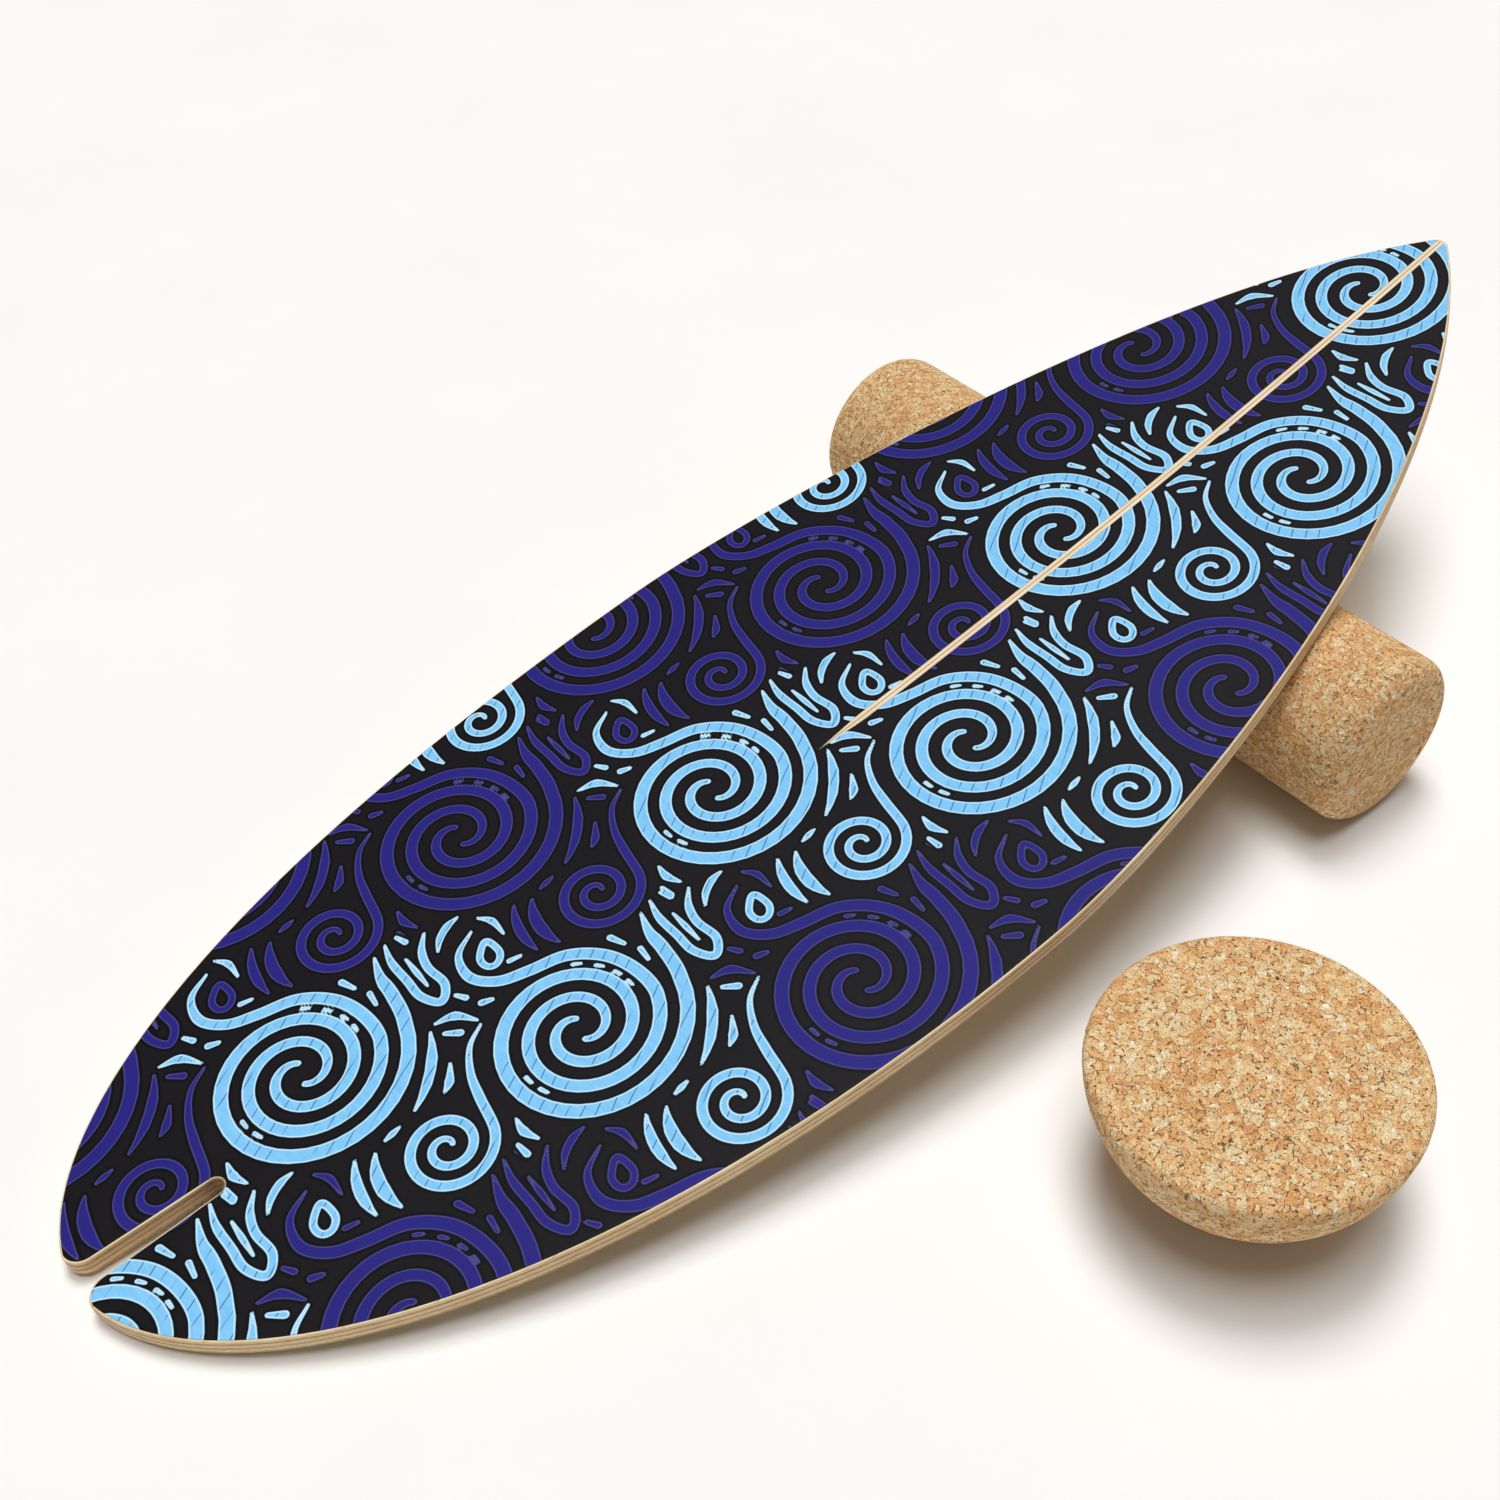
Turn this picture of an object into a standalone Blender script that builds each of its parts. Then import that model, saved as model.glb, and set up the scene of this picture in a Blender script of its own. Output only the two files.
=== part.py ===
"""Balance board set: a bent plywood board leaning on a cork roller, with a cork half ball beside it.

Metres. +X points along the board to its nose, +Y to its left side, +Z up. The floor is z = 0 and the
origin is the middle of the set's footprint. The board rests with its tail on the floor.

The board is flat across and bent along its length to a round arc, its rocker. A place on it is given
by its station, the length along the deck from the lowest point of the arc (nose positive), its offset
to the left of the centreline, and its depth below the deck.
"""
import math

import bmesh
import bpy
import numpy as np
from mathutils import Vector

# Board outline, seen from above
NOSE = 0.461
TAIL = -0.485
HALF_WIDTH = 0.171
WIDEST_STATION = -0.038
NOSE_ANGLE = math.radians(46)
NOSE_TANGENT = 0.165
FORE_TANGENT = 0.097
AFT_TANGENT = 0.313
TAIL_TANGENT = 0.075
NOSE_RADIUS = 0.008

# Tail slot
SLOT_END = -0.408
SLOT_END_HALF = 0.0045
SLOT_MOUTH_HALF = 0.0062
LOBE_RADIUS = 0.010

# Lamination, from the deck down
GAP = 0.0003
FILM = 0.0005
PLY = 0.0015
PLIES = ("ply_1_face", "ply_2_cross", "ply_3_long", "ply_4_core", "ply_5_long", "ply_6_cross", "ply_7_face")
ROCKER_RADIUS = 4.6
FILM_INSET = 0.0006

# Stringer inlay
STRINGER_END = -0.044
STRINGER_TAPER = 0.030
STRINGER_HALF = 0.0024
STRINGER_NOSE_MARGIN = 0.004

# Cork roller and half ball
ROLLER_RADIUS = 0.050
ROLLER_LEFT = 0.223
ROLLER_RIGHT = -0.186
ROLLER_EDGE = 0.011
ROLLER_STATION = 0.188
BALL_RADIUS = 0.076
BALL_HEIGHT = 0.0755
BALL_RIM = 0.005
BALL_BEHIND_ROLLER = 0.230
BALL_RIGHT = 0.285
TURN_SEGMENTS = 64

BOARD_THICKNESS = FILM + GAP + len(PLIES) * PLY + (len(PLIES) - 1) * GAP
UNDERSIDE_RADIUS = ROCKER_RADIUS + BOARD_THICKNESS


def bezier(points, count=240):
    """Points along a cubic curve through its first and last control points."""
    a, b, c, d = (np.array(p) for p in points)
    t = np.linspace(0.0, 1.0, count)[:, None]
    return (1 - t) ** 3 * a + 3 * t * (1 - t) ** 2 * b + 3 * t ** 2 * (1 - t) * c + t ** 3 * d


def half_outline():
    """The board's left outline from tail to nose: two cubic curves that meet at the widest station."""
    tip = NOSE - NOSE_RADIUS + NOSE_RADIUS / math.sin(NOSE_ANGLE)
    widest = (WIDEST_STATION, HALF_WIDTH)
    aft = bezier(((TAIL, 0.0), (TAIL, TAIL_TANGENT), (WIDEST_STATION - AFT_TANGENT, HALF_WIDTH), widest))
    fore = bezier((
        widest,
        (WIDEST_STATION + FORE_TANGENT, HALF_WIDTH),
        (tip - NOSE_TANGENT * math.cos(NOSE_ANGLE), NOSE_TANGENT * math.sin(NOSE_ANGLE)),
        (tip, 0.0),
    ))
    return np.vstack([aft, fore[1:]])


def inset_curve(curve, distance):
    """The curve moved towards the centreline, square to itself."""
    along = np.gradient(curve, axis=0)
    along /= np.linalg.norm(along, axis=1)[:, None]
    return curve + distance * np.stack([along[:, 1], -along[:, 0]], axis=1)


def outer_edge(inset=0.0):
    """A function from station to the outline's half width, with the nose tip rounded."""
    curve = inset_curve(half_outline(), inset)
    curve = curve[curve[:, 0].argmin():]
    centre = NOSE - NOSE_RADIUS
    radius = NOSE_RADIUS - inset

    def half_width(station):
        if station > centre + radius * math.sin(NOSE_ANGLE):
            return math.sqrt(max(radius ** 2 - (station - centre) ** 2, 0.0))
        return float(np.interp(station, curve[:, 0], curve[:, 1]))

    return half_width


def slot_edge(inset=0.0):
    """A function from station to the half width of the tail slot, zero ahead of its closed end."""
    end = SLOT_END + inset
    radius = SLOT_END_HALF + inset
    mouth = SLOT_MOUTH_HALF + inset
    corner = LOBE_RADIUS - inset
    tip = tail_tip(inset)

    def half_width(station):
        if station >= end:
            return 0.0
        if station > end - radius:
            return math.sqrt(max(radius ** 2 - (station - end + radius) ** 2, 0.0))
        spread = (end - radius - station) / (end - radius - tip)
        half = radius + (mouth - radius) * spread
        rise = tip + corner - station
        if rise > 0.0:
            half += corner - math.sqrt(max(corner ** 2 - rise ** 2, 0.0))
        return half

    return half_width


def tail_tip(inset=0.0):
    """The station where a tail lobe's outline meets the rounded corner of the slot's mouth."""
    curve = inset_curve(half_outline(), inset)
    aft = curve[:120]
    return float(np.interp(SLOT_MOUTH_HALF + LOBE_RADIUS, aft[:, 1], aft[:, 0]))


def stringer_half(station):
    """Half width of the stringer, which tapers to a point at its tail end."""
    return STRINGER_HALF * min(max((station - STRINGER_END) / STRINGER_TAPER, 0.0), 1.0)


def ease(start, reach, steps):
    """Stations from start over a quarter round of the given reach, close together at start."""
    return [start + reach * (1 - math.cos(math.pi / 2 * k / steps)) for k in range(steps + 1)]


def board_stations(inset=0.0):
    """Stations from tail to nose, closer together round the lobes, the slot's end and the nose."""
    tip = tail_tip(inset)
    stations = ease(tip, LOBE_RADIUS - inset, 5)
    stations += [tip + step for step in (0.016, 0.026, 0.040, 0.054)]
    stations += ease(SLOT_END + inset, -SLOT_END_HALF - inset, 4)
    stations += list(np.linspace(SLOT_END + 0.020, NOSE - 0.045, 31))
    stations += [NOSE - 0.030, NOSE - 0.018]
    stations += ease(NOSE - inset, inset - NOSE_RADIUS, 4)
    return sorted(stations)


def material(name, colour, roughness):
    """A Principled material with a plain colour."""
    made = bpy.data.materials.new(name)
    made.use_nodes = True
    shader = made.node_tree.nodes["Principled BSDF"]
    shader.inputs["Base Color"].default_value = (*colour, 1.0)
    shader.inputs["Roughness"].default_value = roughness
    shader.inputs["Metallic"].default_value = 0.0
    made.diffuse_color = (*colour, 1.0)
    return made


def finish(bm, name, parent, finish_material, smooth_angle):
    """Turn a bmesh into a named object with outward faces, hung on its parent."""
    bmesh.ops.recalc_face_normals(bm, faces=bm.faces)
    mesh = bpy.data.meshes.new(name)
    bm.to_mesh(mesh)
    bm.free()
    mesh.materials.append(finish_material)
    mesh.shade_smooth()
    mesh.set_sharp_from_angle(angle=smooth_angle)
    made = bpy.data.objects.new(name, mesh)
    bpy.context.collection.objects.link(made)
    made.parent = parent
    return made


def pivot(name, place, turn):
    """An empty on a joint's axis, turned about +Y."""
    made = bpy.data.objects.new(name, None)
    bpy.context.collection.objects.link(made)
    made.location = place
    made.rotation_euler = (0, turn, 0)
    return made


def bent(station, offset, depth):
    """A place on the board measured from the roller's axis, before the board is tilted."""
    turn = station / ROCKER_RADIUS
    radius = ROCKER_RADIUS + depth
    centre = UNDERSIDE_RADIUS + GAP + ROLLER_RADIUS
    contact = ROLLER_STATION / ROCKER_RADIUS
    return Vector((
        radius * math.sin(turn) - centre * math.sin(contact),
        offset,
        centre * math.cos(contact) - radius * math.cos(turn),
    ))


def sheet(name, stations, inner, outer, depth, thickness, parent, finish_material):
    """A bent layer between two half widths on both sides of the centreline, of even thickness."""
    bm = bmesh.new()
    for side in (1, -1):
        rows = [
            (bm.verts.new((s, side * inner(s), depth)), bm.verts.new((s, side * outer(s), depth)))
            for s in stations
        ]
        for near, far in zip(rows, rows[1:]):
            bm.faces.new((near[0], near[1], far[1], far[0]))
    bmesh.ops.remove_doubles(bm, verts=bm.verts, dist=0.00002)
    bmesh.ops.recalc_face_normals(bm, faces=bm.faces)
    lower = bmesh.ops.extrude_face_region(bm, geom=bm.faces[:])["geom"]
    for vert in [part for part in lower if isinstance(part, bmesh.types.BMVert)]:
        vert.co.z += thickness
    for vert in bm.verts:
        vert.co = bent(*vert.co)
    return finish(bm, name, parent, finish_material, math.radians(40))


def turned(name, profile, axis, place, parent, finish_material):
    """A solid of revolution. The profile's points are (radius, height along the axis)."""
    bm = bmesh.new()
    axis = Vector(axis)
    across = axis.orthogonal().normalized()
    verts = [bm.verts.new(across * radius + axis * height) for radius, height in profile]
    edges = [bm.edges.new(pair) for pair in zip(verts, verts[1:])]
    bmesh.ops.spin(
        bm, geom=verts + edges, cent=(0, 0, 0), axis=axis, angle=2 * math.pi, steps=TURN_SEGMENTS, use_merge=True
    )
    bmesh.ops.remove_doubles(bm, verts=bm.verts, dist=0.00002)
    made = finish(bm, name, parent, finish_material, math.radians(30))
    made.location = place
    return made


def round_corner(centre, radius, start, end, steps):
    """Profile points along an arc, with angles in degrees from the outward direction."""
    angles = [math.radians(start + (end - start) * k / steps) for k in range(steps + 1)]
    return [(centre[0] + radius * math.cos(a), centre[1] + radius * math.sin(a)) for a in angles]


def roller_profile():
    """The roller's outline from the middle of one end to the middle of the other."""
    length = ROLLER_LEFT - ROLLER_RIGHT
    inner = ROLLER_RADIUS - ROLLER_EDGE
    near = round_corner((inner, ROLLER_EDGE), ROLLER_EDGE, -90, 0, 5)
    far = round_corner((inner, length - ROLLER_EDGE), ROLLER_EDGE, 0, 90, 5)
    return [(0.0, 0.0)] + near + far + [(0.0, length)]


def dome_radius():
    """Radius of the dome that runs smoothly into the rim's round and touches the floor."""
    rim_height = BALL_HEIGHT - BALL_RIM
    rim_centre = BALL_RADIUS - BALL_RIM
    return (rim_centre ** 2 + rim_height ** 2 - BALL_RIM ** 2) / (2 * (rim_height - BALL_RIM))


def ball_profile():
    """The half ball's outline from the floor, round the dome and the rim, to the middle of its face."""
    dome = dome_radius()
    rim_centre = (BALL_RADIUS - BALL_RIM, BALL_HEIGHT - BALL_RIM)
    meet = math.degrees(math.atan2(rim_centre[1] - dome, rim_centre[0]))
    under = round_corner((0.0, dome), dome, -90, meet, 11)
    rim = round_corner(rim_centre, BALL_RIM, meet, 90, 5)
    return under + rim[1:] + [(0.0, BALL_HEIGHT)]


def board_tilt():
    """How far the nose is up when the tail's lower edge is on the floor and the underside on the roller."""
    tail = tail_tip() / ROCKER_RADIUS
    contact = ROLLER_STATION / ROCKER_RADIUS
    centre = UNDERSIDE_RADIUS + GAP + ROLLER_RADIUS
    level = UNDERSIDE_RADIUS * math.cos(tail) - centre * math.cos(contact)
    cross = centre * math.sin(contact) - UNDERSIDE_RADIUS * math.sin(tail)
    return math.atan2(cross, level) - math.acos(ROLLER_RADIUS / math.hypot(level, cross))


def main():
    for old in list(bpy.data.objects):
        bpy.data.objects.remove(old)

    tilt = board_tilt()
    tail = bent(tail_tip(), 0, FILM + GAP)
    nose = bent(NOSE, 0, BOARD_THICKNESS)
    reach_back = tail.z * math.sin(tilt) - tail.x * math.cos(tilt)
    reach_fore = nose.x * math.cos(tilt) - nose.z * math.sin(tilt)
    roller_x = (reach_back - reach_fore) / 2
    centre_y = (ROLLER_LEFT - BALL_RIGHT - BALL_RADIUS) / 2

    board = pivot("board_tilt_axis", (roller_x, -centre_y, ROLLER_RADIUS), -tilt)
    ball_place = (roller_x - BALL_BEHIND_ROLLER, -BALL_RIGHT - centre_y, dome_radius())
    rocking = pivot("half_ball_rock_axis", ball_place, 0)

    ply_colours = {
        "face": material("face_veneer", (0.78, 0.62, 0.40), 0.55),
        "cross": material("cross_veneer", (0.62, 0.45, 0.26), 0.65),
        "long": material("long_veneer", (0.72, 0.56, 0.35), 0.60),
        "core": material("core_veneer", (0.60, 0.43, 0.25), 0.65),
    }
    stations = board_stations()
    slot = slot_edge()
    outline = outer_edge()
    for layer, name in enumerate(PLIES):
        depth = FILM + GAP + layer * (PLY + GAP)
        sheet(name, stations, slot, outline, depth, PLY, board, ply_colours[name.split("_")[-1]])

    film_slot = slot_edge(FILM_INSET)
    film_outline = outer_edge(FILM_INSET)

    def film_inner(station):
        groove = stringer_half(station) + GAP if station > STRINGER_END - GAP else 0.0
        return max(film_slot(station), groove)

    film_stations = board_stations(FILM_INSET) + [STRINGER_END - GAP, STRINGER_END, STRINGER_END + STRINGER_TAPER]
    film_stations = [s for s in sorted(film_stations) if film_outline(s) >= film_inner(s) + GAP]
    sheet("deck_print", film_stations, film_inner, film_outline, 0.0, FILM, board,
          material("printed_film", (0.035, 0.03, 0.08), 0.25))

    stringer_stations = [STRINGER_END, STRINGER_END + STRINGER_TAPER]
    stringer_stations += list(np.linspace(0.02, NOSE - STRINGER_NOSE_MARGIN, 16))
    sheet("deck_stringer", stringer_stations, lambda station: 0.0, stringer_half, 0.0, FILM, board,
          material("stringer_wood", (0.80, 0.68, 0.48), 0.5))

    cork = material("cork", (0.66, 0.42, 0.20), 0.85)
    turned("cork_roller", roller_profile(), (0, 1, 0), (roller_x, ROLLER_RIGHT - centre_y, ROLLER_RADIUS), None, cork)
    turned("cork_half_ball", ball_profile(), (0, 0, 1), (0, 0, -dome_radius()), rocking, cork)


main()
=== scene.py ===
"""The looks of a balance board set: a printed plywood board on a cork roller, and a cork half ball.

Metres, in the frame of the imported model: +X runs along the board to its nose, +Y to its left, +Z up.
A place on the board is its station (the length along the deck from the lowest point of its arc, nose
positive), its offset to the left of the centreline and its depth below the deck.
"""
import math

import bmesh
import bpy
import numpy as np
from mathutils import Matrix, Vector


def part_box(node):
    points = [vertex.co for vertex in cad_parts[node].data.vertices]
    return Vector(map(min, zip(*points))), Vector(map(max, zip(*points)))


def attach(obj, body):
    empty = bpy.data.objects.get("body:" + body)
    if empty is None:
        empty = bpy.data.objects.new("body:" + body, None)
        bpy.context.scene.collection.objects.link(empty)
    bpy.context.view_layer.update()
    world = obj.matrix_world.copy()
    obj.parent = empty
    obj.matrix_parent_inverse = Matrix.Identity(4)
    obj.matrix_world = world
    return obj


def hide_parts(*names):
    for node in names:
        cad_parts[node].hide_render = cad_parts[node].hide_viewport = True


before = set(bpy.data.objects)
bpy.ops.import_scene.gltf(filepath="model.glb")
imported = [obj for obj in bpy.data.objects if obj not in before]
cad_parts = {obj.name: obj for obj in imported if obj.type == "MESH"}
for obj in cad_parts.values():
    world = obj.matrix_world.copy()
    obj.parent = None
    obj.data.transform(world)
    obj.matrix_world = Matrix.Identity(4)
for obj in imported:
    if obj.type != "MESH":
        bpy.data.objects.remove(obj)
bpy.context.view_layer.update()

# Board outline
NOSE = 0.461
TAIL = -0.485
HALF_WIDTH = 0.171
WIDEST_STATION = -0.038
NOSE_ANGLE = math.radians(46)
NOSE_TANGENT = 0.165
FORE_TANGENT = 0.097
AFT_TANGENT = 0.313
TAIL_TANGENT = 0.075
NOSE_RADIUS = 0.008

# Tail slot
SLOT_END = -0.408
SLOT_END_HALF = 0.0045
SLOT_MOUTH_HALF = 0.0062
LOBE_RADIUS = 0.010

# Lamination
PLIES = ("ply_1_face", "ply_2_cross", "ply_3_long", "ply_4_core", "ply_5_long", "ply_6_cross", "ply_7_face")
FILM = 0.0005
GAP = 0.0003
PITCH = 0.0018
THICKNESS = FILM + len(PLIES) * PITCH
ROCKER_RADIUS = 4.6
UNDERSIDE_RADIUS = ROCKER_RADIUS + THICKNESS
SEAM = 0.00002
TOP_ROUND = 0.0006
BOTTOM_ROUND = 0.0030
FILM_INSET = 0.0010
FILM_ROUND = 0.0003
FILM_ROUND_POINTS = 5
ROUND_STEPS = 8
PLY_SPACING = 0.006
PLY_COLUMNS = np.array([0.0, 0.02, 0.5, 0.98, 1.0])
ROUNDED_PLIES = (0, 5, 6)
ROUNDED_LEVELS = 9
PLAIN_LEVELS = 3
FILM_SPACING = 0.0014
FILM_COLUMNS = 124
MERGE_DISTANCE = 0.000002

# Stringer inlay
STRINGER_END = -0.044
STRINGER_TAPER = 0.030
STRINGER_HALF = 0.0024
STRINGER_JOINT = 0.00006
STRINGER_SETBACK = 0.0012
STRINGER_ROWS = 80
STRINGER_COLUMNS = np.array([0.0, 0.5, 1.0])

# Cork pieces
ROLLER_STATION = 0.188
ROLLER_EDGE = 0.011
BALL_RIM = 0.005
CORK_STEP = 0.0015
SAME_POINT = 1e-7
COARSE_CRUMB = 0.0042
COARSE_SINK = 0.00016
MEDIUM_CRUMB = 0.0021
MEDIUM_SINK = 0.00012
PIT_SIZE = 0.0026
PIT_THRESHOLD = 0.80
PIT_SINK = 0.0030


# ---------------------------------------------------------------- board surface

def bezier(a, b, c, d, count=240):
    """A cubic curve from a to d whose ends point along a to b and c to d."""
    t = np.linspace(0.0, 1.0, count)[:, None]
    a, b, c, d = np.array((a, b, c, d))
    return (1 - t) ** 3 * a + 3 * t * (1 - t) ** 2 * b + 3 * t ** 2 * (1 - t) * c + t ** 3 * d


def half_outline():
    """The left outline from tail to nose, as stations and half widths: two cubics meeting at the widest."""
    tip = NOSE - NOSE_RADIUS + NOSE_RADIUS / math.sin(NOSE_ANGLE)
    widest = (WIDEST_STATION, HALF_WIDTH)
    aft = bezier((TAIL, 0.0), (TAIL, TAIL_TANGENT), (WIDEST_STATION - AFT_TANGENT, HALF_WIDTH), widest)
    towards_nose = (tip - NOSE_TANGENT * math.cos(NOSE_ANGLE), NOSE_TANGENT * math.sin(NOSE_ANGLE))
    fore = bezier(widest, (WIDEST_STATION + FORE_TANGENT, HALF_WIDTH), towards_nose, (tip, 0.0))
    return np.vstack([aft, fore[1:]])


def inset_outline(inset):
    """The outline moved square to itself by the inset, from its rearmost place on."""
    curve = half_outline()
    along = np.gradient(curve, axis=0)
    along /= np.linalg.norm(along, axis=1)[:, None]
    curve = curve + inset * np.stack([along[:, 1], -along[:, 0]], axis=1)
    return curve[curve[:, 0].argmin():]


def outer_half(station, inset):
    """Half width of the outline: the inset curve, and a circle about the nose's centre at the nose."""
    curve = inset_outline(inset)
    centre, radius = NOSE - NOSE_RADIUS, NOSE_RADIUS - inset
    width = np.interp(station, curve[:, 0], curve[:, 1])
    tip = np.sqrt(np.maximum(radius ** 2 - (station - centre) ** 2, 0.0))
    return np.where(station > centre + radius * math.sin(NOSE_ANGLE), tip, width)


def tail_tip(inset):
    """The station where the outline is as wide as the slot's mouth and its rounded corner together."""
    curve = inset_outline(inset)
    aft = curve[:len(half_outline()) // 4]  # its first quarter, where the width still grows
    return float(np.interp(SLOT_MOUTH_HALF + LOBE_RADIUS, aft[:, 1], aft[:, 0]))


def slot_half(station, inset):
    """Half width of the slot: a half circle at its closed end, then straight sides that spread towards
    the mouth, and a quarter circle added at the mouth. Zero ahead of the closed end."""
    end, radius = SLOT_END + inset, SLOT_END_HALF + inset
    corner = LOBE_RADIUS - inset
    tip = tail_tip(inset)
    spread = np.clip((end - radius - station) / (end - radius - tip), 0.0, 1.0)
    rise = np.clip(tip + corner - station, 0.0, corner)
    sides = radius + (SLOT_MOUTH_HALF - SLOT_END_HALF) * spread + corner - np.sqrt(corner ** 2 - rise ** 2)
    closed = np.sqrt(np.maximum(radius ** 2 - (station - end + radius) ** 2, 0.0))
    return np.where(station >= end, 0.0, np.where(station > end - radius, closed, sides))


def stringer_half(station):
    """Half width of the stringer: zero at its tail end, full after the taper."""
    return STRINGER_HALF * np.clip((station - STRINGER_END) / STRINGER_TAPER, 0.0, 1.0)


def board_tilt():
    """How far the nose is up: the board's underside touches the roller and its tail the floor."""
    tail, contact = tail_tip(0.0) / ROCKER_RADIUS, ROLLER_STATION / ROCKER_RADIUS
    level = UNDERSIDE_RADIUS * math.cos(tail) - ARC_TO_AXIS * math.cos(contact)
    cross = ARC_TO_AXIS * math.sin(contact) - UNDERSIDE_RADIUS * math.sin(tail)
    return math.atan2(cross, level) - math.acos(AXIS_HEIGHT / math.hypot(level, cross))


def on_board(station, offset, depth):
    """World places on the board: an arc of the rocker's radius plus the depth, whose centre stands off
    from the roller's axis at the contact's angle, tilted about that axis."""
    turn, radius = station / ROCKER_RADIUS, ROCKER_RADIUS + depth
    along = radius * np.sin(turn) - ARC_TO_AXIS * math.sin(CONTACT)
    up = ARC_TO_AXIS * math.cos(CONTACT) - radius * np.cos(turn)
    x = AXIS_X + along * math.cos(TILT) - up * math.sin(TILT)
    z = AXIS_HEIGHT + along * math.sin(TILT) + up * math.cos(TILT)
    return np.stack(np.broadcast_arrays(x, MIDDLE_Y + offset, z), axis=-1)


def board_place(points):
    """The station, offset and depth of world places: the same steps taken backwards."""
    x, z = points[:, 0] - AXIS_X, points[:, 2] - AXIS_HEIGHT
    along = x * math.cos(TILT) + z * math.sin(TILT) + ARC_TO_AXIS * math.sin(CONTACT)
    up = ARC_TO_AXIS * math.cos(CONTACT) - (z * math.cos(TILT) - x * math.sin(TILT))
    station = np.arctan2(along, up) * ROCKER_RADIUS
    return np.stack([station, points[:, 1] - MIDDLE_Y, np.hypot(along, up) - ROCKER_RADIUS], axis=1)


roller_low, roller_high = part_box("cork_roller")
ball_low, ball_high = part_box("cork_half_ball")
ply_low, ply_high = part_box("ply_1_face")
AXIS_X = (roller_low.x + roller_high.x) / 2
AXIS_HEIGHT = (roller_low.z + roller_high.z) / 2
MIDDLE_Y = (ply_low.y + ply_high.y) / 2
ARC_TO_AXIS = UNDERSIDE_RADIUS + GAP + AXIS_HEIGHT
CONTACT = ROLLER_STATION / ROCKER_RADIUS
TILT = board_tilt()


# ---------------------------------------------------------------- meshes

def grid_faces(rows, columns, first):
    """Four-sided faces between neighbouring points of a grid numbered row by row from first."""
    index = first + np.arange(rows * columns).reshape(rows, columns)
    return np.stack([index[:-1, :-1], index[1:, :-1], index[1:, 1:], index[:-1, 1:]], axis=-1)


def piece_from_grids(name, grids, sharp=35):
    """One closed mesh from grids of points that share their edges. Each grid comes with a mask of the
    faces to keep, or None for all of them. Shared points are merged, the faces are turned outwards, and
    an edge with a turn above `sharp` degrees stays sharp."""
    points, faces, first = [], [], 0
    for grid, keep in grids:
        rows, columns = grid.shape[:2]
        quads = grid_faces(rows, columns, first)
        faces.append(quads[keep] if keep is not None else quads.reshape(-1, 4))
        points.append(grid.reshape(-1, 3))
        first += rows * columns
    mesh = bpy.data.meshes.new(name)
    mesh.from_pydata(np.concatenate(points).tolist(), [], np.concatenate(faces).tolist())
    bm = bmesh.new()
    bm.from_mesh(mesh)
    bmesh.ops.remove_doubles(bm, verts=bm.verts, dist=MERGE_DISTANCE)
    loose = [point for point in bm.verts if not point.link_faces]
    bmesh.ops.delete(bm, geom=loose, context="VERTS")
    bmesh.ops.recalc_face_normals(bm, faces=bm.faces)
    bm.to_mesh(mesh)
    bm.free()
    mesh.shade_smooth()
    mesh.set_sharp_from_angle(angle=math.radians(sharp))
    made = bpy.data.objects.new(name, mesh)
    bpy.context.scene.collection.objects.link(made)
    return made


def mesh_points(made):
    """The piece's points as one array."""
    points = np.empty(len(made.data.vertices) * 3, np.float32)
    made.data.vertices.foreach_get("co", points)
    return points.reshape(-1, 3).astype(float)


def store(made, name, values):
    """Keep a number or a vector for each point, for the material to read."""
    kind, field = ("FLOAT", "value") if values.ndim == 1 else ("FLOAT_VECTOR", "vector")
    layer = made.data.attributes.new(name, kind, "POINT")
    layer.data.foreach_set(field, values.astype(np.float32).ravel())


def board_rows(inset, spacing):
    """Stations from the tail to the nose: steps of equal angle round the lobe's corner, the slot's
    closed end and the nose, with even steps between."""
    quarter = 1 - np.cos(np.linspace(0.0, np.pi / 2, ROUND_STEPS + 1))
    lobe = tail_tip(inset) + (LOBE_RADIUS - inset) * quarter
    slot = SLOT_END + inset - (SLOT_END_HALF + inset) * quarter[::-1]
    nose = NOSE - inset - (NOSE_RADIUS - inset) * quarter[::-1]
    aft = np.linspace(lobe[-1], slot[0], 2 + round((SLOT_END - TAIL) / spacing))[1:-1]
    fore = np.linspace(slot[-1], nose[0], 2 + round((NOSE - SLOT_END) / spacing))[1:-1]
    return np.concatenate([lobe, aft, slot, fore, nose])


def layer(name, levels, insets, inner, outer, rows, across, sides=(1, -1)):
    """A closed layer of the board on one side or both sides of the centreline. `levels` are depths from
    its top to its underside, each with its own edge inset; `inner` and `outer` give half widths
    from a station and an inset; `rows` gives the stations for an inset; `across` are shares of the
    width where the top has its columns."""
    stations = np.stack([rows(inset) for inset in insets])
    near = np.stack([inner(s, inset) for s, inset in zip(stations, insets)])
    far = np.maximum(near, np.stack([outer(s, inset) for s, inset in zip(stations, insets)]))
    depth = np.array(levels)[:, None]
    # The inner wall is left out where the layer is whole across the centreline
    walled = (near[:-1, :-1] + near[1:, :-1] + near[:-1, 1:] + near[1:, 1:]) > 0
    walled |= len(sides) == 1
    grids = []
    for side in sides:
        for level, shares in ((0, across), (-1, np.array([0.0, 1.0]))):
            offsets = near[level][:, None] + (far[level] - near[level])[:, None] * shares
            grids.append((on_board(stations[level][:, None], side * offsets, levels[level]), None))
        grids.append((on_board(stations, side * far, depth), None))
        grids.append((on_board(stations, side * near, depth), walled))
    made = piece_from_grids(name, grids)
    store(made, "place", board_place(mesh_points(made)))
    return made


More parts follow.
